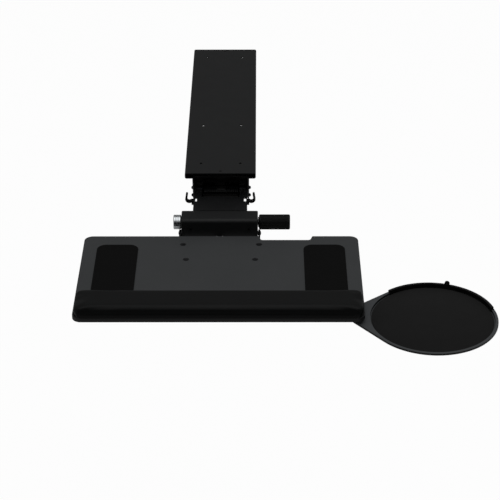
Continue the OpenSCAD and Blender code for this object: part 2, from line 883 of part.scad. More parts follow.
module front_spacer_tube() {
    half = link_in - side_gap / 2;
    color(deep_black) tube(-half, half, front_lower, tube_r, shaft_r + fit);
}

module link_washers() {
    color(deep_black) for (s = [0, 1]) mirror([s, 0, 0])
        tube(link_out + side_gap / 4, yoke_in, front_lower, tube_r, shaft_r + fit);
}

// Tilt screw and knobs
module tilt_screw() {
    left = -head_half - side_gap - end_knob_l + end_knob_floor;
    color(steel) rod(left, knob_start + knob_l - knob_floor, [screw_y, screw_z], screw_r);
}

// Half section of a knob with bevelled rims
module knob_half(r, l, rim) {
    polygon([[0, 0], [r - rim, 0], [r, rim], [r, l - rim], [r - rim, l], [0, l]]);
}

module tilt_knob() {
    rim = 1.6;
    neck = 3;
    groove_out = 0.2;
    collar_l = 2.5 * side_gap;
    color(deep_black) translate([knob_start, screw_y, screw_z]) rotate([90, 0, 90]) difference() {
        union() {
            rotate_extrude() knob_half(knob_d / 2, knob_l, rim);
            translate([0, 0, -collar_l]) cylinder(d = 2 * knob_d / 3, h = collar_l + over);
        }
        translate([0, 0, -collar_l - over])
            cylinder(r = screw_r + fit, h = knob_l - knob_floor + collar_l + over);
        for (i = [0:knob_ribs - 1]) rotate(360 * i / knob_ribs)
            translate([knob_d / 2 + groove_out, 0, neck])
                cylinder(r = knob_groove + groove_out, h = knob_l - 2 * neck, $fn = 16);
    }
}

module end_knob() {
    rim = 1;
    start = [-head_half - side_gap, screw_y, screw_z];
    color("#b9bdc1") translate(start) rotate([90, 0, -90]) difference() {
        rotate_extrude() knob_half(end_knob_d / 2, end_knob_l, rim);
        translate([0, 0, -over]) cylinder(r = screw_r + fit, h = end_knob_l - end_knob_floor + over);
    }
}

module tilt_nut() {
    color(steel) difference() {
        translate([-nut_half, nut_front, nut_bottom])
            cube([2 * nut_half, nut_back - nut_front, nut_top - nut_bottom]);
        rod(-nut_half - over, nut_half + over, [screw_y, screw_z], screw_r + run);
        translate([0, tilt_y, nut_bottom - over]) rotate(slot_angle)
            linear_extrude(ball_z + ball_r + side_gap - nut_bottom + over)
                bar2d([-slot_end, 0], ball_r + run, [slot_end, 0], ball_r + run);
    }
}

// Platform bracket and tilt lever
module ear_outline() {
    flange = [board_back + flange_r, board_bottom - flange_r];
    bar2d([tilt_y, tilt_z], ear_r, flange, flange_r);
    translate([tongue_front, flange[1] - flange_r]) square([flange[0] - tongue_front, 2 * flange_r]);
}

module platform_bracket() {
    low = [board_shift - plate_w, plate_front];
    high = [board_shift + plate_w, tongue_front];
    tongue_low = tongue_front - plate_margin;
    color(black) difference() {
        union() {
            translate([0, 0, plate_low]) linear_extrude(plate_t) {
                round_rect(low, high, plate_margin / 2);
                translate([-ear_out, tongue_low]) square([2 * ear_out, tongue_back - tongue_low]);
            }
            both_sides(ear_in, ear_out) ear_outline();
        }
        both_sides(ear_in - over, ear_out + over) translate([tilt_y, tilt_z]) circle(tilt_pin_d / 2 + fit);
        board_screw_places() drill([0, 0], plate_low - over, board_bottom + over, board_screw_d / 2 + fit);
    }
}

module board_screw_places() {
    for (s = [-1, 1]) {
        translate([board_shift + s * rear_hole_x / 2, board_back - rear_hole_y, 0]) children();
        translate([board_shift + s * front_hole_x / 2, board_back - front_hole_y, 0]) children();
    }
}

module tilt_pins() {
    head_rim = 1.5;
    head_h = 1.6;
    color(deep_black) for (s = [0, 1]) mirror([s, 0, 0]) {
        rod(cap_half, ear_out, [tilt_y, tilt_z], tilt_pin_d / 2);
        dome(ear_out, [tilt_y, tilt_z], tilt_pin_d / 2 + head_rim, head_h);
    }
}

module tilt_lever() {
    post = 0.55 * ball_r;
    pivot = [tilt_y, tilt_z];
    low = lever_foot[1] - lever_r;
    color(deep_black) {
        side_plate(-lever_half, lever_half) {
            bar2d(pivot, lever_r, lever_foot, lever_r);
            translate([tongue_front, low]) square([lever_foot[0] - tongue_front, plate_low - low]);
        }
        side_plate(-post, post) bar2d(pivot, lever_r, [tilt_y, ball_z], post);
        translate([0, tilt_y, ball_z]) sphere(ball_r);
    }
}

// Keyboard board
module notch_outline() {
    bottom = board_back - notch_d;
    left = board_shift + notch_x;
    right = left + notch_l;
    far_left = [left + notch_lean + notch_r, bottom + notch_r];
    far_right = [right - notch_lean - notch_r, bottom + notch_r];
    bar2d(far_left, notch_r, far_right, notch_r);
    polygon([
        [left, board_back], touch([left, board_back], far_left, notch_r, -1), far_left,
        far_right, touch([right, board_back], far_right, notch_r, 1), [right, board_back],
        [right, board_back + over], [left, board_back + over]
    ]);
}

// Cone of a sunk screw head that starts with radius r
module screw_cone(r, h) {
    translate([0, 0, board_top - screw_head_h]) cylinder(r1 = r, r2 = r + screw_head_slope * h, h = h);
}

module keyboard_board() {
    low = [board_shift - board_w / 2, board_front];
    high = [board_shift + board_w / 2, board_back];
    pilot_top = board_bottom + pivot_screw_in + screw_room;
    color("#38393b") difference() {
        translate([0, 0, board_bottom]) linear_extrude(board_t) difference() {
            round_rect(low, high, board_r);
            notch_outline();
        }
        board_screw_places() {
            drill([0, 0], board_bottom - over, board_top + over, board_screw_d / 2 + fit);
            screw_cone(board_screw_d / 2 + fit, screw_head_h + over);
        }
        pivot_screw_places() drill([0, 0], board_bottom - over, pilot_top, pivot_screw_r + fit);
    }
}

module board_screws() {
    sink = 0.3;
    color(deep_black) board_screw_places() {
        screw_cone(board_screw_d / 2, screw_head_h - sink);
        drill([0, 0], plate_low - nut_tail, board_top - screw_head_h, board_screw_d / 2);
    }
}

module grip_pad(side) {
    end = board_w / 2 - grip_inset;
    x0 = board_shift + (side > 0 ? end - grip_w : -end);
    color(deep_black) translate([0, 0, board_top]) linear_extrude(grip_t) {
        round_rect([x0, palm_back + side_gap], [x0 + grip_w, board_back - grip_back], grip_r);
        translate([x0, palm_back + side_gap]) square([grip_w, grip_r]);
    }
}

module grip_pad_left() grip_pad(-1);

module grip_pad_right() grip_pad(1);

module palm_base() {
    color(deep_black) translate([board_shift, 0, board_top]) linear_extrude(palm_base_t)
        round_rect([-palm_half, palm_front], [palm_half, palm_back], palm_r);
}

// Section of the palm rest: a round front edge, a flat top and a round back edge
function palm_outline() =
    let (h = palm_h - palm_base_t - palm_seat, span = palm_d - palm_nose_r - palm_back_r) concat(
        [[0, 0]],
        [for (a = [180:-15:90]) [palm_nose_r * (1 + cos(a)), h - palm_nose_r * (1 - sin(a))]],
        [for (k = [0.25, 0.5, 0.75]) [palm_nose_r + k * span, h]],
        [for (a = [90:-15:0]) [palm_d - palm_back_r * (1 - cos(a)), h - palm_back_r * (1 - sin(a))]],
        [[palm_d, 0]]
    );

// The section at x, drawn in and lowered round the corner at the end
function palm_ring(x) =
    let (
        corner = max(0, abs(x) - palm_half + palm_r) / palm_r,
        edge = max(0, abs(x) - palm_half + palm_end_r) / palm_end_r,
        deep = 1 - 2 * palm_r * (1 - sqrt(1 - corner * corner)) / palm_d,
        high = 1 - palm_end_r * (1 - sqrt(1 - edge * edge)) / (palm_h - palm_base_t),
        mid = (palm_front + palm_back) / 2
    ) [for (p = palm_outline()) [x, mid + deep * (p[0] - palm_d / 2), high * p[1]]];

module palm_rest() {
    corner = [for (a = [90:-15:0]) palm_half - palm_r * (1 - sin(a))];
    half = concat(corner, [palm_half / 2]);
    places = concat([for (x = half) -x], [for (k = [len(half) - 1:-1:0]) half[k]]);
    n = len(palm_outline());
    points = [for (x = places) each palm_ring(x)];
    sides = [for (i = [0:len(places) - 2], k = [0:n - 1])
        let (a = i * n + k, b = i * n + (k + 1) % n) each [[a, b, b + n], [a, b + n, a + n]]];
    first = [for (k = [1:n - 2]) [0, k + 1, k]];
    end = (len(places) - 1) * n;
    last = [for (k = [1:n - 2]) [end, end + k, end + k + 1]];
    color(deep_black) translate([board_shift, 0, palm_z + palm_seat])
        polyhedron(points, concat(sides, first, last));
}

// Mouse tray pivot
module pivot_screw_places() {
    for (x = [-1, 1], y = [-1, 1])
        translate([pivot_at[0] + x * pivot_bolt[0], pivot_at[1] + y * pivot_bolt[1], 0]) children();
}

module pivot_plate() {
    corner = 6;
    color(steel) difference() {
        translate([0, 0, pivot_low]) linear_extrude(plate_t)
            round_rect(pivot_at - pivot_half, pivot_at + pivot_half, corner);
        drill(pivot_at, pivot_low - over, board_bottom + over, stud_r + fit);
        pivot_screw_places() drill([0, 0], pivot_low - over, board_bottom + over, pivot_screw_r + fit);
    }
}

module pivot_screws() {
    head_r = 3.4;
    head_h = 1.6;
    bevel = 1;
    color(steel) pivot_screw_places() {
        drill([0, 0], pivot_low, board_bottom + pivot_screw_in, pivot_screw_r);
        translate([0, 0, pivot_low - head_h]) cylinder(r1 = head_r - bevel, r2 = head_r, h = head_h);
    }
}

module pivot_stud() {
    low = tray_low - tray_washer_t - nut_washer_t - nut_t - nut_tail;
    color(steel) drill(pivot_at, low, board_bottom - side_gap / 2, stud_r);
}

module pivot_spacer() {
    color(nylon) translate([pivot_at[0], pivot_at[1], tray_top + side_gap / 2]) difference() {
        cylinder(r = washer_r, h = pivot_gap - side_gap / 2);
        translate([0, 0, -over]) cylinder(r = stud_r + fit, h = pivot_gap + 2 * over);
    }
}

module pivot_nut() {
    color(steel) washer_and_nut(pivot_at, tray_low - tray_washer_t, stud_r);
}

// Mouse tray: straight sides that run from the pivot along the stem and flare out to the round tray
module stem_outline() {
    side = (stem_r - tangent_lap) * [-unit(tray_at - pivot_at)[1], unit(tray_at - pivot_at)[0]];
    polygon([
        pivot_at + side, stem_at + side, touch(stem_at + side, tray_at, tray_r - tangent_lap, 1), tray_at,
        touch(stem_at - side, tray_at, tray_r - tangent_lap, -1), stem_at - side, pivot_at - side
    ]);
}

// Places of the guard's pegs in the tray's rim
module peg_places() {
    translate(tray_at) for (k = [0.15, 0.5, 0.85])
        rotate(guard_from + k * guard_arc) translate([(dish_r + guard_out) / 2, 0]) children();
}

module mouse_tray() {
    color("#3a3c3e") difference() {
        union() {
            drill(tray_at, tray_low, tray_top, tray_r, $fn = 128);
            drill(tray_at, dish_floor - dish_t, tray_top - over, dish_r + dish_wall, $fn = 128);
            drill(pivot_at, tray_low, tray_top, stem_r);
            translate([0, 0, tray_low]) linear_extrude(tray_t) stem_outline();
        }
        drill(tray_at, dish_floor, tray_top + over, dish_r, $fn = 128);
        drill(pivot_at, tray_low - over, tray_top + over, stud_r + bush_wall + fit);
        peg_places() drill([0, 0], tray_top - peg_l - screw_room, tray_top + over, peg_r + fit);
    }
}

module mouse_bush() {
    color(nylon) translate([pivot_at[0], pivot_at[1], tray_low]) difference() {
        cylinder(r = stud_r + bush_wall, h = tray_t);
        translate([0, 0, -over]) cylinder(r = stud_r + run, h = tray_t + 2 * over);
    }
}

module mouse_pad() {
    color("#1b1b1c") drill(tray_at, dish_floor, dish_floor + mouse_pad_t, mouse_pad_r, $fn = 128);
}

// Guard on the rim's far side, with a skirt inside the dish and pegs in the rim
module mouse_guard() {
    skirt_low = dish_floor + guard_fit;
    color(deep_black) {
        translate([tray_at[0], tray_at[1], 0]) rotate(guard_from)
            rotate_extrude(angle = guard_arc, $fn = 128) {
                translate([guard_in, skirt_low]) square([skirt_t, guard_top - skirt_low]);
                translate([guard_in, tray_top]) square([guard_t, guard_h]);
            }
        peg_places() drill([0, 0], tray_top - peg_l, tray_top + over, peg_r);
    }
}

// Ring that holds the mouse's cord on top of the guard, with a slit to press the cord in
module cord_clip() {
    r = clip_d / 2;
    slit = 0.4 * clip_bore;
    rise = 0.5 * r;
    color(deep_black) translate([tray_at[0], tray_at[1], guard_top]) rotate(clip_at)
        translate([guard_in, 0, 0]) rotate([90, 0, 90]) linear_extrude(guard_t) difference() {
            union() {
                translate([0, rise]) circle(r);
                translate([-r / 2, 0]) square([r, rise]);
            }
            translate([-r, -r]) square([2 * r, r]);
            translate([0, rise]) circle(clip_bore / 2);
            translate([0, rise - slit / 2]) square([2 * r, slit]);
        }
}

track_rail();
track_front_stop();
track_rear_stop();
carriage_plate();
carriage_glides();
swivel_hub();
thrust_washer();
swivel_pin();
swivel_nut();
swivel_bracket();
rear_upper_shaft();
rear_lower_shaft();
rear_spacer_tube();
link_spacers();
spring_sleeve();
lift_arm();
arm_bushes();
cable_hook_left();
cable_hook_right();
spring_left();
spring_right();
level_link_left();
level_link_right();
head_housing();
head_yoke();
end_cap_left();
end_cap_right();
housing_screws();
front_upper_shaft();
front_lower_shaft();
front_spacer_tube();
link_washers();
tilt_screw();
tilt_knob();
end_knob();
tilt_nut();
platform_bracket();
tilt_pins();
tilt_lever();
keyboard_board();
board_screws();
grip_pad_left();
grip_pad_right();
palm_base();
palm_rest();
pivot_plate();
pivot_screws();
pivot_stud();
pivot_spacer();
pivot_nut();
mouse_tray();
mouse_bush();
mouse_pad();
mouse_guard();
cord_clip();
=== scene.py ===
"""Dresses the under-desk keyboard tray, piece by piece from the desk track down to the mouse tray."""
import json
import math

import bmesh
import bpy
from mathutils import Matrix, Vector

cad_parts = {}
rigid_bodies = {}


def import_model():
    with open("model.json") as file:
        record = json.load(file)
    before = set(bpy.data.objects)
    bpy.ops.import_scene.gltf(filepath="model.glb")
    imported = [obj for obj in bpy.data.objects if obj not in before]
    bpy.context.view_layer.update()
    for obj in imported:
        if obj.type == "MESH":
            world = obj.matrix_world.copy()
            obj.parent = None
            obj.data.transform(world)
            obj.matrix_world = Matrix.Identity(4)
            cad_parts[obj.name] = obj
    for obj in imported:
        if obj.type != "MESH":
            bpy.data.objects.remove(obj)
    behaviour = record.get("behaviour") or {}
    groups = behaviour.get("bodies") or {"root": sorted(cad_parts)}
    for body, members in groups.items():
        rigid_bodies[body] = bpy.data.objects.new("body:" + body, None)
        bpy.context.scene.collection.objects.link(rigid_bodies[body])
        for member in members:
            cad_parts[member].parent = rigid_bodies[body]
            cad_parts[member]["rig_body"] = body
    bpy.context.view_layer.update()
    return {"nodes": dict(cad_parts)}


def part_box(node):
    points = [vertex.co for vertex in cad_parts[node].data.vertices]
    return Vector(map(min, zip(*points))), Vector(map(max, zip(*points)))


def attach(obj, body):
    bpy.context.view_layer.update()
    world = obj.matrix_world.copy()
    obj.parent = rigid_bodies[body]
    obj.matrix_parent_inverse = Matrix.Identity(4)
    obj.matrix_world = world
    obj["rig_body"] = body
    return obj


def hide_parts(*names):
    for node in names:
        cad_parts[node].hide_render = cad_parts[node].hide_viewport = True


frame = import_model()


# Camera: a long lens in front of the tray and above it, looking down on the board at about thirty degrees.
# Its place and angles come from the board's four corners and the round tray.
lens_mm = 129.5
camera_at = Vector((0.0713, -3.1729, 1.4997))
look_down = math.radians(29.84)
turn = math.radians(0.355)
roll = math.radians(-0.21)

camera = bpy.data.objects.new("camera", bpy.data.cameras.new("camera"))
camera.data.lens = lens_mm
camera.data.sensor_width = 36.0
camera.matrix_world = (
    Matrix.Translation(camera_at)
    @ Matrix.Rotation(turn, 4, "Z")
    @ Matrix.Rotation(math.pi / 2 - look_down, 4, "X")
    @ Matrix.Rotation(roll, 4, "Z")
)
bpy.context.scene.collection.objects.link(camera)
bpy.context.scene.camera = camera
bpy.context.scene.view_settings.view_transform = "Standard"


# Studio: a plain pale floor well below the tray, a white surround, a wide soft box overhead with a weak one at the
# left, and a dark card low in front, which keeps the upright black faces black.
def add(tree, kind, inputs=None, **settings):
    """Adds a node with its settings; each input is a plain value or the output socket that feeds it."""
    node = tree.nodes.new(kind)
    for name, value in settings.items():
        setattr(node, name, value)
    for name, value in (inputs or {}).items():
        if isinstance(value, bpy.types.NodeSocket):
            tree.links.new(value, node.inputs[name])
        else:
            node.inputs[name].default_value = value
    return node


def linear(code):
    """Linear RGBA of an sRGB hex colour."""
    channels = [int(code[i:i + 2], 16) / 255 for i in (1, 3, 5)]
    return [c / 12.92 if c <= 0.04045 else ((c + 0.055) / 1.055) ** 2.4 for c in channels] + [1.0]


def camera_rays(tree):
    """One where the camera looks straight at the background, and zero where the background lights the tray."""
    return add(tree, "ShaderNodeLightPath").outputs["Is Camera Ray"]


floor_z = -0.72
floor_glow = 0.97
surround_light = 0.26
world = bpy.data.worlds.new("studio")
world.use_nodes = True
world.node_tree.nodes.clear()
strength = add(world.node_tree, "ShaderNodeMapRange",
               {"Value": camera_rays(world.node_tree), "To Min": surround_light, "To Max": 1.0})
sky = add(world.node_tree, "ShaderNodeBackground",
          {"Color": linear("#ffffff"), "Strength": strength.outputs["Result"]})
add(world.node_tree, "ShaderNodeOutputWorld", {"Surface": sky.outputs[0]})
bpy.context.scene.world = world

floor_paint = bpy.data.materials.new("white_studio_floor")
floor_paint.use_nodes = True
floor_tree = floor_paint.node_tree
floor_tree.nodes.clear()
paint = add(floor_tree, "ShaderNodeBsdfDiffuse", {"Color": linear("#f4f4f4")})
glow = add(floor_tree, "ShaderNodeEmission", {"Color": linear("#ffffff"), "Strength": 1.0})
glow_share = add(floor_tree, "ShaderNodeMath", {0: camera_rays(floor_tree), 1: floor_glow}, operation="MULTIPLY")
surface = add(floor_tree, "ShaderNodeMixShader",
              {0: glow_share.outputs[0], 1: paint.outputs[0], 2: glow.outputs[0]})
add(floor_tree, "ShaderNodeOutputMaterial", {"Surface": surface.outputs[0]})


def stage_sheet(name, material, size, place):
    """A flat card of the studio, which isn't part of the object."""
    work = bmesh.new()
    bmesh.ops.create_grid(work, x_segments=1, y_segments=1, size=size / 2, matrix=place)
    mesh = bpy.data.meshes.new(name)
    work.to_mesh(mesh)
    work.free()
    mesh.materials.append(material)
    card = bpy.data.objects.new(name, mesh)
    bpy.context.scene.collection.objects.link(card)
    return card


stage_sheet("floor", floor_paint, size=16.0, place=Matrix.Translation((0, 0, floor_z)))
flag_paint = bpy.data.materials.new("black_velvet_flag")
flag_paint.use_nodes = True
velvet = flag_paint.node_tree.nodes["Principled BSDF"]
velvet.inputs["Base Color"].default_value = linear("#050505")
velvet.inputs["Specular IOR Level"].default_value = 0.0
face_front = Matrix.Rotation(math.pi / 2, 4, "X")
flag = stage_sheet("front_flag", flag_paint, size=5.0, place=Matrix.Translation((0, -4.2, -0.4)) @ face_front)
flag.visible_camera = False


def soft_box(name, watts, size, at, aim):
    """A square area lamp, in metres and watts, turned to face a point."""
    lamp = bpy.data.lights.new(name, "AREA")
    lamp.energy = watts
    lamp.size = size
    box = bpy.data.objects.new(name, lamp)
    box.location = at
    box.rotation_euler = (Vector(aim) - Vector(at)).to_track_quat("-Z", "Y").to_euler()
    bpy.context.scene.collection.objects.link(box)


soft_box("overhead_box", watts=26.0, size=2.6, at=(0.3, -0.7, 2.4), aim=(0.1, -0.45, 0.0))
soft_box("left_fill", watts=3.0, size=1.4, at=(-2.4, -1.3, 1.2), aim=(0.0, -0.4, -0.05))


# Track: a folded steel channel that is screwed up against the desk, with a moulded stop pressed in near each end.
# It is powder coated, a sprayed and baked finish that is satin black with a faint orange peel.
def start_material(name):
    """A new material with its shader and the place of each point on the piece, in metres."""
    material = bpy.data.materials.new(name)
    material.use_nodes = True
    tree = material.node_tree
    place = add(tree, "ShaderNodeTexCoord").outputs["Object"]
    return material, tree.nodes["Principled BSDF"], place


MM = 0.001


def per_mm(size):
    """Texture scale at which one feature is that many millimetres across."""
    return 1.0 / (size * MM)


def drift(place, size_mm, detail):
    """Soft noise over the piece, whose patches are that many millimetres across."""
    noise = add(place.id_data, "ShaderNodeTexNoise", {"Vector": place, "Scale": per_mm(size_mm), "Detail": detail})
    return noise.outputs["Fac"]


def cells(place, size_mm, feature="F1"):
    """Close cells over the piece, each about that many millimetres across."""
    grid = add(place.id_data, "ShaderNodeTexVoronoi", {"Vector": place, "Scale": per_mm(size_mm)}, feature=feature)
    return grid.outputs["Distance"]


def bands(place, axis, width_mm, waver):
    """Light and dark bands that follow each other along an axis, each that many millimetres wide."""
    bands_per_unit = 6.3
    wave = add(place.id_data, "ShaderNodeTexWave",
               {"Vector": place, "Scale": per_mm(width_mm) / bands_per_unit, "Distortion": waver},
               bands_direction=axis)
    return wave.outputs["Fac"]


def times(first, second):
    """The product of two textures, which is light only where both of them are."""
    return add(first.id_data, "ShaderNodeMath", {0: first, 1: second}, operation="MULTIPLY").outputs[0]


def tint(shader, factor, dark, light):
    """Lets the finish's colour drift between two hex colours."""
    mix = add(shader.id_data, "ShaderNodeMix", {"Factor": factor, "A": linear(dark), "B": linear(light)},
              data_type="RGBA")
    shader.id_data.links.new(mix.outputs["Result"], shader.inputs["Base Color"])


def polish(shader, value, smoothest, roughest):
    """Lets the finish's roughness drift between two values."""
    spread = add(shader.id_data, "ShaderNodeMapRange", {"Value": value, "To Min": smoothest, "To Max": roughest})
    shader.id_data.links.new(spread.outputs["Result"], shader.inputs["Roughness"])


def emboss(shader, height, strength, depth_mm):
    """Gives the finish a fine relief."""
    bump = add(shader.id_data, "ShaderNodeBump", {"Height": height, "Strength": strength, "Distance": depth_mm * MM})
    shader.id_data.links.new(bump.outputs["Normal"], shader.inputs["Normal"])


def powder_coat():
    """Baked polyester powder: dark and satin, with a fine orange peel that softens its highlights."""
    material, shader, place = start_material("black_powder_coat")
    peel = drift(place, size_mm=1.1, detail=2.0)
    patch = drift(place, size_mm=38.0, detail=4.0)
    tint(shader, patch, "#0d0e0f", "#121314")
    polish(shader, patch, 0.46, 0.58)
    emboss(shader, peel, 0.22, depth_mm=0.06)
    shader.inputs["IOR"].default_value = 1.45
    shader.inputs["Specular IOR Level"].default_value = 0.3
    return material


def moulded_black():
    """Glass-filled black nylon: a spark-eroded mould leaves an even fine grain with a low sheen."""
    material, shader, place = start_material("moulded_black_nylon")
    grain = cells(place, size_mm=0.9)
    cloud = drift(place, size_mm=22.0, detail=3.0)
    tint(shader, cloud, "#070707", "#0b0b0b")
    polish(shader, cloud, 0.42, 0.55)
    emboss(shader, grain, 0.2, depth_mm=0.05)
    shader.inputs["IOR"].default_value = 1.53
    shader.inputs["Specular IOR Level"].default_value = 0.13
    return material


weld = 0.002 * MM
smooth_below = math.radians(32)


def put(name, mesh, materials, *stands_for):
    """Shows a finished mesh in place of its solids, with the given materials, on the body of the first one."""
    mesh.shade_smooth()
    mesh.set_sharp_from_angle(angle=smooth_below)
    for material in materials:
        mesh.materials.append(material)
    piece = bpy.data.objects.new(name, mesh)
    bpy.context.scene.collection.objects.link(piece)
    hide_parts(*stands_for)
    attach(piece, frame["nodes"][stands_for[0]]["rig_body"])
    return piece


def to_mesh(work, name):
    """Closes a bmesh into a mesh whose faces point outwards."""
    bmesh.ops.remove_doubles(work, verts=work.verts, dist=weld)
    bmesh.ops.recalc_face_normals(work, faces=work.faces)
    mesh = bpy.data.meshes.new(name)
    work.to_mesh(mesh)
    work.free()
    return mesh


def solid_copy(node):
    """The node's solid as one closed bmesh with its flat faces whole again."""
    work = bmesh.new()
    work.from_mesh(frame["nodes"][node].data)
    bmesh.ops.remove_doubles(work, verts=work.verts, dist=weld)
    bmesh.ops.dissolve_limit(work, angle_limit=math.radians(0.4), verts=work.verts, edges=work.edges)
    return work


def ease(work, radius_mm, keep=None, steps=2):
    """Rounds the sharp edges of a solid; keep tells which of them."""
    sharp = [e for e in work.edges if e.is_manifold and e.calc_face_angle() > smooth_below]
    chosen = [e for e in sharp if keep is None or keep(e)]
    bmesh.ops.bevel(work, geom=chosen, offset=radius_mm * MM, segments=steps, profile=0.5, affect="EDGES",
                    material=-1, clamp_overlap=True)


def flatten(piece):
    """Takes each corner's normal from its largest faces, so that flat faces look flat beside their eased edges."""
    weigh = piece.modifiers.new("flat_faces", "WEIGHTED_NORMAL")
    weigh.keep_sharp = True


def eased_copy(node, radius_mm, *materials):
    """Shows a copy of the node's solid with rounded edges."""
    work = solid_copy(node)
    ease(work, radius_mm)
    flatten(put(node + "_shown", to_mesh(work, node), materials, node))


coat = powder_coat()
black_nylon = moulded_black()
eased_copy("track_rail", 0.4, coat)
eased_copy("track_front_stop", 0.6, black_nylon)
eased_copy("track_rear_stop", 0.6, black_nylon)


# Carriage: a zinc-plated steel plate between two white nylon glides, with a turned hub, a washer and a pivot pin
# under it. Zinc plate is a bright grey metal with cloudy passivated patches.
def zinc_plate():
    """Bright zinc on steel: a cool grey metal whose gloss drifts in soft clouds, with faint rolling lines."""
    material, shader, place = start_material("zinc_plated_steel")
    cloud = drift(place, size_mm=9.0, detail=5.0)
    lines = bands(place, "Y", width_mm=0.8, waver=3.0)
    tint(shader, cloud, "#a9adb2", "#c3c6c9")
    polish(shader, cloud, 0.26, 0.44)
    emboss(shader, lines, 0.1, depth_mm=0.02)
    shader.inputs["Metallic"].default_value = 1.0
    return material


def natural_nylon():
    """Unfilled nylon: milky off-white, with a soft satin skin from the mould."""
    material, shader, place = start_material("natural_nylon")
    cloud = drift(place, size_mm=6.0, detail=3.0)
    tint(shader, cloud, "#cfccc0", "#dcd9ce")
    polish(shader, cloud, 0.4, 0.52)
    shader.inputs["IOR"].default_value = 1.53
    return material


zinc = zinc_plate()
nylon = natural_nylon()
for node in ("carriage_plate", "swivel_hub", "swivel_pin", "swivel_nut"):
    eased_copy(node, 0.4, zinc)
for node in ("carriage_glides", "thrust_washer"):
    eased_copy(node, 0.3, nylon)


# Swivel bracket: a folded steel cheek plate, powder coated like the track, with two riveted shafts in black oxide
# and black nylon spacers that keep the links and springs apart.
def black_oxide():
    """Blackened steel: a thin dark oxide that still shines like metal, its tone drifting in soft patches."""
    material, shader, place = start_material("black_oxide_steel")
    cloud = drift(place, size_mm=4.0, detail=4.0)
    tint(shader, cloud, "#1d1e20", "#2b2c2f")
    polish(shader, cloud, 0.32, 0.46)
    shader.inputs["Metallic"].default_value = 1.0
    return material


oxide = black_oxide()
eased_copy("swivel_bracket", 0.5, coat)
for node in ("rear_upper_shaft", "rear_lower_shaft"):
    eased_copy(node, 0.3, oxide)
for node in ("rear_spacer_tube", "link_spacers", "spring_sleeve"):
    eased_copy(node, 0.3, black_nylon)


# Lift arm: a folded and powder-coated steel arm on flanged nylon bushes, two level links below it, and a moulded
# cable hook pressed into each side.
eased_copy("lift_arm", 0.4, coat)
eased_copy("arm_bushes", 0.2, black_nylon)
for side in ("left", "right"):
    eased_copy("level_link_" + side, 0.4, coat)
    eased_copy("cable_hook_" + side, 0.6, black_nylon)


# Counterbalance springs: oiled spring-steel wire wound round the upper rear shaft, with a straight leg that presses
# up against the arm's panel and a short tail.
def spring_wire():
    """Oil-tempered wire: blackened metal with an oily half gloss."""
    material, shader, place = start_material("oil_tempered_wire")
    cloud = drift(place, size_mm=2.5, detail=4.0)
    tint(shader, cloud, "#111213", "#1c1d1e")
    polish(shader, cloud, 0.24, 0.4)
    shader.inputs["Metallic"].default_value = 1.0
    return material


wire = spring_wire()
wire_d = 2.8 * MM
coil_r = 7.9 * MM
coil_turns = 7
coil_pitch = wire_d + 0.7 * MM
points_per_turn = 28
tail_l = 2 * wire_d
leg_to = Vector((0, -62.0, 5.9)) * MM
sleeve_low, sleeve_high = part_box("spring_sleeve")
shaft_at = (sleeve_low + sleeve_high) / 2
coil_end = sleeve_high.x
leg_angle = math.atan2(leg_to.z, leg_to.y) - math.acos(coil_r / leg_to.length)
for side, sign in (("left", -1), ("right", 1)):
    angles = [leg_angle - 2 * math.pi * i / points_per_turn for i in range(coil_turns * points_per_turn + 1)]
    coil = [Vector((coil_end - coil_pitch * i / points_per_turn, coil_r * math.cos(a), coil_r * math.sin(a)))
            for i, a in enumerate(angles)]
    tail = coil[-1] + tail_l * Vector((0, math.sin(angles[-1]), -math.cos(angles[-1])))
    route = [Vector((coil_end, leg_to.y, leg_to.z))] + coil + [tail]
    curve = bpy.data.curves.new("spring_wire", "CURVE")
    curve.dimensions = "3D"
    curve.bevel_depth = wire_d / 2
    curve.bevel_resolution = 3
    curve.use_fill_caps = True
    spline = curve.splines.new("POLY")
    spline.points.add(len(route) - 1)
    for point, at in zip(spline.points, route):
        point.co = (sign * at.x, at.y + shaft_at.y, at.z + shaft_at.z, 1)
    curve.materials.append(wire)
    spring = bpy.data.objects.new("spring_" + side + "_shown", curve)
    bpy.context.scene.collection.objects.link(spring)
    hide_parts("spring_" + side)
    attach(spring, "arm")


# Tilt head: a powder-coated steel housing with moulded end caps, and a steel yoke at its back on the two front
# shafts. Two pan-head screws hold the mechanism inside it.
end_r = 2.0
wall_mm = 2.2
level_gap = 0.01 * MM
housing_low, housing_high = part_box("head_housing")


def on_end_rim(v):
    """Whether a corner lies on one of the housing's ends, on the outside of its wall."""
    inside = min(v.co.y - housing_low.y, housing_high.y - v.co.y, v.co.z - housing_low.z, housing_high.z - v.co.z)
    return abs(abs(v.co.x) - housing_high.x) < level_gap and inside < wall_mm * MM


work = solid_copy("head_housing")
ease(work, end_r, keep=lambda e: all(on_end_rim(v) for v in e.verts), steps=4)
flatten(put("head_housing_shown", to_mesh(work, "head_housing"), [coat], "head_housing"))
eased_copy("head_yoke", 0.5, coat)
for side in ("left", "right"):
    eased_copy("end_cap_" + side, 0.4, black_nylon)
eased_copy("front_upper_shaft", 0.3, oxide)
eased_copy("front_lower_shaft", 0.3, zinc)
for node in ("front_spacer_tube", "link_washers"):
    eased_copy(node, 0.2, black_nylon)


def solid_islands(node):
    """Lowest and highest corner of each separate solid of a node, in the row frame."""
    work = solid_copy(node)
    left = set(work.verts)
    boxes = []
    while left:
        edge = [left.pop()]
        group = list(edge)
        while edge:
            near = {e.other_vert(v) for v in edge for e in v.link_edges} & left
            left -= near
            group += near
            edge = list(near)
        low = Vector([min(v.co[i] for v in group) for i in range(3)])
        high = Vector([max(v.co[i] for v in group) for i in range(3)])
        boxes.append((low, high))
    work.free()
    return boxes


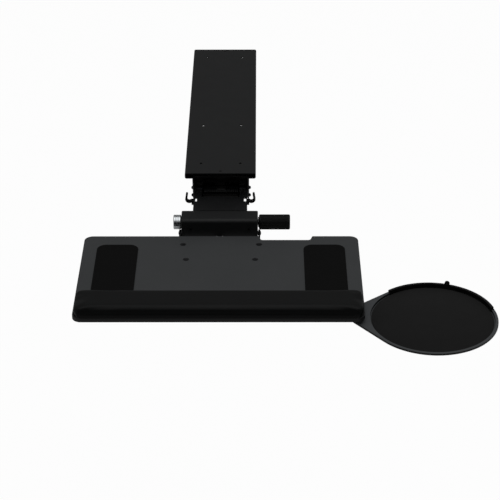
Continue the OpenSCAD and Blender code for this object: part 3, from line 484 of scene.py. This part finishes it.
def socket_head(work, radius, height, socket_r, depth, place):
    """A round screw head with a hexagon socket, standing on the place's XY plane."""
    round_share = 0.4
    made = bmesh.ops.create_circle(work, segments=32, radius=radius, cap_ends=True)["verts"]
    base = made[0].link_faces[0]
    top = bmesh.ops.extrude_face_region(work, geom=[base])["geom"]
    head = set(made) | {g for g in top if isinstance(g, bmesh.types.BMVert)}
    bmesh.ops.translate(work, verts=[g for g in top if isinstance(g, bmesh.types.BMVert)], vec=(0, 0, height))
    cap = next(g for g in top if isinstance(g, bmesh.types.BMFace))
    rounded = bmesh.ops.bevel(work, geom=list(cap.edges), offset=round_share * height, segments=4, profile=0.5,
                              affect="EDGES", material=-1)
    head = {v for v in head if v.is_valid} | set(rounded["verts"])
    cap = max((f for v in head for f in v.link_faces), key=lambda f: (f.calc_center_median().z, f.calc_area()))
    rim = list(cap.edges)
    bmesh.ops.delete(work, geom=[cap], context="FACES_ONLY")
    hexagon = bmesh.ops.create_circle(work, segments=6, radius=socket_r, cap_ends=True)["verts"]
    bmesh.ops.translate(work, verts=hexagon, vec=(0, 0, height))
    mouth = list(hexagon[0].link_faces[0].edges)
    floor = bmesh.ops.extrude_face_region(work, geom=[hexagon[0].link_faces[0]])["geom"]
    sunk = [g for g in floor if isinstance(g, bmesh.types.BMVert)]
    bmesh.ops.translate(work, verts=sunk, vec=(0, 0, -depth))
    bmesh.ops.bridge_loops(work, edges=rim + mouth)
    bmesh.ops.transform(work, matrix=place, verts=list(head | set(hexagon) | set(sunk)))


head_h = 1.2 * MM
socket_share = 0.45
depth_share = 0.6
work = bmesh.new()
for low, high in solid_islands("housing_screws"):
    head_r = (high.x - low.x) / 2
    front = Vector(((low.x + high.x) / 2, low.y + head_h, (low.z + high.z) / 2))
    socket_head(work, head_r, head_h, socket_share * head_r, depth_share * head_h,
                Matrix.Translation(front) @ face_front)
put("housing_screws_shown", to_mesh(work, "housing_screws"), [oxide], "housing_screws")


# Tilt drive: a steel screw right through the housing, a ribbed moulded hand knob on its right end, and a turned
# aluminium knob on its left end. The nut inside has a slanted slot for the tilt lever.
def turned_aluminium():
    """Clear-anodised aluminium off the lathe: pale metal with fine rings round its axis and a silky sheen."""
    material, shader, place = start_material("turned_aluminium")
    rings = bands(place, "X", width_mm=0.7, waver=0.6)
    cloud = drift(place, size_mm=5.0, detail=4.0)
    tint(shader, cloud, "#c4c8ca", "#d6d9da")
    polish(shader, rings, 0.2, 0.3)
    emboss(shader, rings, 0.15, depth_mm=0.02)
    shader.inputs["Metallic"].default_value = 1.0
    return material


aluminium = turned_aluminium()
eased_copy("tilt_screw", 0.4, zinc)
eased_copy("tilt_nut", 0.6, zinc)
eased_copy("tilt_knob", 0.3, black_nylon)
knob_low, knob_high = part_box("end_knob")
knob_mid = (knob_low + knob_high) / 2
knob_r = (knob_high.z - knob_low.z) / 2
knob_l = knob_high.x - knob_low.x
groove = 0.5 * MM
chamfer = 1.2 * MM
dimple_r = 0.55 * knob_r
dimple_floor_r = 0.5 * knob_r
profile = [(0, 0), (knob_r - chamfer, 0), (knob_r, chamfer)]
groove_shares = (0.32, 0.5, 0.68)
for share in groove_shares:
    along = share * knob_l
    profile += [(knob_r, along - groove), (knob_r - groove, along), (knob_r, along + groove)]
profile += [(knob_r, knob_l - chamfer), (knob_r - chamfer, knob_l), (dimple_r, knob_l),
            (dimple_floor_r, knob_l - groove), (0, knob_l - groove)]
work = bmesh.new()
line = [work.verts.new((knob_high.x - along, knob_mid.y, knob_mid.z + out)) for out, along in profile]
edges = [work.edges.new(pair) for pair in zip(line, line[1:])]
bmesh.ops.spin(work, geom=line + edges, cent=knob_mid, axis=(1, 0, 0), angle=2 * math.pi, steps=64, use_merge=True)
put("end_knob_shown", to_mesh(work, "end_knob"), [aluminium], "end_knob")


# Platform: a powder-coated steel bracket under the board with two ears on the tilt pins, and the lever whose ball
# sits in the nut's slot.
eased_copy("platform_bracket", 0.5, coat)
eased_copy("tilt_pins", 0.3, oxide)
eased_copy("tilt_lever", 0.4, oxide)


# Board: a solid phenolic sheet with a matt dark-grey laminate face. It is routed to its outline, so its black core
# shows as a dark band with lightly broken edges.
def phenolic_face(name, dark, light):
    """Matt high-pressure laminate: charcoal grey with a very fine speckle and a dry, even surface."""
    material, shader, place = start_material(name)
    speck = drift(place, size_mm=0.8, detail=1.0)
    cloud = drift(place, size_mm=90.0, detail=3.0)
    tint(shader, times(speck, cloud), dark, light)
    polish(shader, cloud, 0.52, 0.62)
    emboss(shader, speck, 0.12, depth_mm=0.04)
    shader.inputs["Specular IOR Level"].default_value = 0.25
    return material


def phenolic_core():
    """The routed black core: dark resin-bonded paper whose layers run as thin lines round the edge."""
    material, shader, place = start_material("black_phenolic_core")
    layers = bands(place, "Z", width_mm=0.9, waver=0.8)
    tint(shader, layers, "#111112", "#1b1b1c")
    shader.inputs["Roughness"].default_value = 0.5
    shader.inputs["Specular IOR Level"].default_value = 0.3
    return material


laminate = phenolic_face("grey_board_laminate", "#363839", "#48494b")
core = phenolic_core()


def faced_copy(node, top_mm, bottom_mm, face, edge):
    """A copy with eased rims whose flat top and bottom have one finish and whose edge has another."""
    work = solid_copy(node)
    low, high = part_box(node)
    for radius_mm, level in ((top_mm, high.z), (bottom_mm, low.z)):
        ease(work, radius_mm, keep=lambda e: all(abs(v.co.z - level) < level_gap for v in e.verts))
    level_above = 0.98
    for f in work.faces:
        f.material_index = 0 if abs(f.normal.z) > level_above else 1
    flatten(put(node + "_shown", to_mesh(work, node), (face, edge), node))


faced_copy("keyboard_board", 1.2, 0.4, laminate, core)


# Board screws: four countersunk steel screws in black oxide that hold the board on the platform bracket.
eased_copy("board_screws", 0.2, oxide)


# Grip pads: two sheets of black rubber stuck to the board, which stop a keyboard from sliding.
def grip_rubber():
    """Calendered sheet rubber: dull black with a fine pebbled skin that hardly shines."""
    material, shader, place = start_material("grip_rubber")
    pebble = cells(place, size_mm=1.3, feature="SMOOTH_F1")
    cloud = drift(place, size_mm=30.0, detail=3.0)
    tint(shader, cloud, "#090909", "#0d0d0d")
    emboss(shader, pebble, 0.25, depth_mm=0.08)
    shader.inputs["Roughness"].default_value = 0.8
    shader.inputs["Specular IOR Level"].default_value = 0.08
    return material


rubber = grip_rubber()
for side in ("left", "right"):
    eased_copy("grip_pad_" + side, 0.5, rubber)


# Palm rest: a long foam pad in a stretched black leatherette cover on a thin moulded base along the board's front
# edge. The cover is blown up a little as cloth, so that its top crowns and its sides draw in, and it bulges past
# its base, with a front lip that hangs over the board's edge.
def leatherette():
    """Stretched polyurethane leatherette: close black grain with a soft low sheen on its crown."""
    material, shader, place = start_material("black_leatherette")
    grain = cells(place, size_mm=1.6, feature="DISTANCE_TO_EDGE")
    cloud = drift(place, size_mm=45.0, detail=4.0)
    tint(shader, cloud, "#050606", "#080909")
    polish(shader, cloud, 0.44, 0.56)
    emboss(shader, grain, 0.2, depth_mm=0.08)
    shader.inputs["Specular IOR Level"].default_value = 0.135
    return material


eased_copy("palm_base", 0.5, black_nylon)
palm_low, palm_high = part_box("palm_rest")
board_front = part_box("keyboard_board")[0].y
front_bulge = 2.7 * MM
back_bulge = 6.0 * MM
palm_low.y -= front_bulge
palm_high.y += back_bulge
palm_size = palm_high - palm_low
palm_mid = (palm_low + palm_high) / 2
swell = 1.2 * MM
corner_r = 11.0 * MM
top_r = 5.0 * MM
voxel = 3.0 * MM
most_swell = 2.5 * MM
foot = 0.8 * MM
cloth_frames = 20
smooth_passes = 4
lip_drop = 5.6 * MM
lip_depth = 2.2 * MM
lip_gap = 0.4 * MM
work = bmesh.new()
bmesh.ops.create_cube(work, size=1.0)
bmesh.ops.scale(work, vec=palm_size - Vector((2 * swell, 2 * swell, swell)), verts=work.verts)
bmesh.ops.translate(work, vec=palm_mid - Vector((0, 0, swell / 2)), verts=work.verts)
upright = [e for e in work.edges if abs(e.verts[0].co.z - e.verts[1].co.z) > top_r]
bmesh.ops.bevel(work, geom=upright, offset=corner_r, segments=8, profile=0.5, affect="EDGES", material=-1)
crest = [e for e in work.edges if min(v.co.z for v in e.verts) > palm_mid.z]
bmesh.ops.bevel(work, geom=crest, offset=top_r, segments=6, profile=0.5, affect="EDGES", material=-1)
pad = put("palm_rest_shown", to_mesh(work, "palm_rest"), [leatherette()], "palm_rest")
remesh = pad.modifiers.new("even_cloth", "REMESH")
remesh.mode = "VOXEL"
remesh.voxel_size = voxel


def apply_modifiers(piece):
    """Keeps the piece's evaluated mesh and drops its modifiers."""
    shown = bpy.data.meshes.new_from_object(piece.evaluated_get(bpy.context.evaluated_depsgraph_get()))
    piece.modifiers.clear()
    piece.data = shown


apply_modifiers(pad)
start = [v.co.copy() for v in pad.data.vertices]
held = pad.vertex_groups.new(name="glued_foot")
held.add([v.index for v in pad.data.vertices if v.co.z < palm_low.z + foot], 1.0, "REPLACE")
cover = pad.modifiers.new("cover", "CLOTH")
cover.settings.quality = 6
cover.settings.mass = 0.2
cover.settings.use_pressure = True
cover.settings.uniform_pressure_force = 4.0
cover.settings.vertex_group_mass = "glued_foot"
cover.settings.effector_weights.gravity = 0.0
for step in range(1, cloth_frames + 1):
    bpy.context.scene.frame_set(step)
apply_modifiers(pad)
bpy.context.scene.frame_set(1)
for v, rest in zip(pad.data.vertices, start):
    move = v.co - rest
    if move.length > most_swell:
        v.co = rest + move * (most_swell / move.length)
work = bmesh.new()
work.from_mesh(pad.data)
for _ in range(smooth_passes):
    free = [v for v in work.verts if v.co.z > palm_low.z + foot]
    bmesh.ops.smooth_vert(work, verts=free, factor=0.5, use_axis_x=True, use_axis_y=True, use_axis_z=True)
lip_back = min(v.co.y for v in work.verts) + lip_depth
for v in work.verts:
    v.co.z = max(v.co.z, palm_low.z)
    if v.co.y < lip_back and v.co.z < palm_mid.z:
        v.co.z -= lip_drop * (palm_mid.z - v.co.z) / (palm_mid.z - palm_low.z)
        v.co.y = min(v.co.y, board_front - lip_gap)
work.to_mesh(pad.data)
work.free()
pad.data.shade_smooth()
round_out = pad.modifiers.new("smooth_cover", "SUBSURF")
round_out.levels = 1
round_out.render_levels = 1


# Mouse pivot: a zinc-plated plate screwed under the board's right end, with a stud, a nylon spacer and a nut that
# the tray turns on.
for node in ("pivot_plate", "pivot_stud", "pivot_nut"):
    eased_copy(node, 0.4, zinc)
eased_copy("pivot_screws", 0.2, zinc)
for node in ("pivot_spacer", "mouse_bush"):
    eased_copy(node, 0.3, nylon)


# Mouse tray: a round phenolic plate with a shallow dish and a tapering stem, faced and routed like the board.
# Its laminate is a lighter copy of the board's grey: painted light that brightens the tray where the board shades
# it.
tray_laminate_with_painted_light = phenolic_face("grey_tray_laminate_painted_light", "#3f4143", "#525456")
faced_copy("mouse_tray", 0.5, 0.5, tray_laminate_with_painted_light, core)


# Mouse pad: a disc of fine knitted cloth on foam rubber with a rounded edge, stuck down inside the tray's dish.
def mouse_cloth():
    """Knitted polyester on rubber: near black, with a fine even stitch and a faint fuzzy sheen at low angles."""
    stitch_mm = 1.2
    material, shader, place = start_material("knitted_mouse_cloth")
    weft, warp = (bands(place, axis, stitch_mm, waver=0.4) for axis in "XY")
    cloud = drift(place, size_mm=35.0, detail=3.0)
    tint(shader, cloud, "#131313", "#191919")
    emboss(shader, times(weft, warp), 0.3, depth_mm=0.1)
    shader.inputs["Roughness"].default_value = 0.85
    shader.inputs["Specular IOR Level"].default_value = 0.1
    shader.inputs["Sheen Weight"].default_value = 0.08
    shader.inputs["Sheen Roughness"].default_value = 0.5
    return material


disc_low, disc_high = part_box("mouse_pad")
disc_mid = (disc_low + disc_high) / 2
disc_r = (disc_high.x - disc_low.x) / 2
disc_t = disc_high.z - disc_low.z
work = bmesh.new()
bmesh.ops.create_circle(work, cap_ends=True, segments=160, radius=disc_r,
                        matrix=Matrix.Translation((disc_mid.x, disc_mid.y, disc_low.z)))
lifted = bmesh.ops.extrude_face_region(work, geom=list(work.faces))["geom"]
bmesh.ops.translate(work, vec=(0, 0, disc_t), verts=[g for g in lifted if isinstance(g, bmesh.types.BMVert)])
top = next(g for g in lifted if isinstance(g, bmesh.types.BMFace))
edge_r = 0.6 * disc_t
bmesh.ops.bevel(work, geom=list(top.edges), offset=edge_r, segments=4, profile=0.5, affect="EDGES", material=-1)
put("mouse_pad_shown", to_mesh(work, "mouse_pad"), [mouse_cloth()], "mouse_pad")


# Mouse guard: a moulded black rail pegged to the back of the tray's rim, with a small slit ring for the mouse cord
# on its top.
eased_copy("mouse_guard", 0.6, black_nylon)
eased_copy("cord_clip", 0.5, black_nylon)
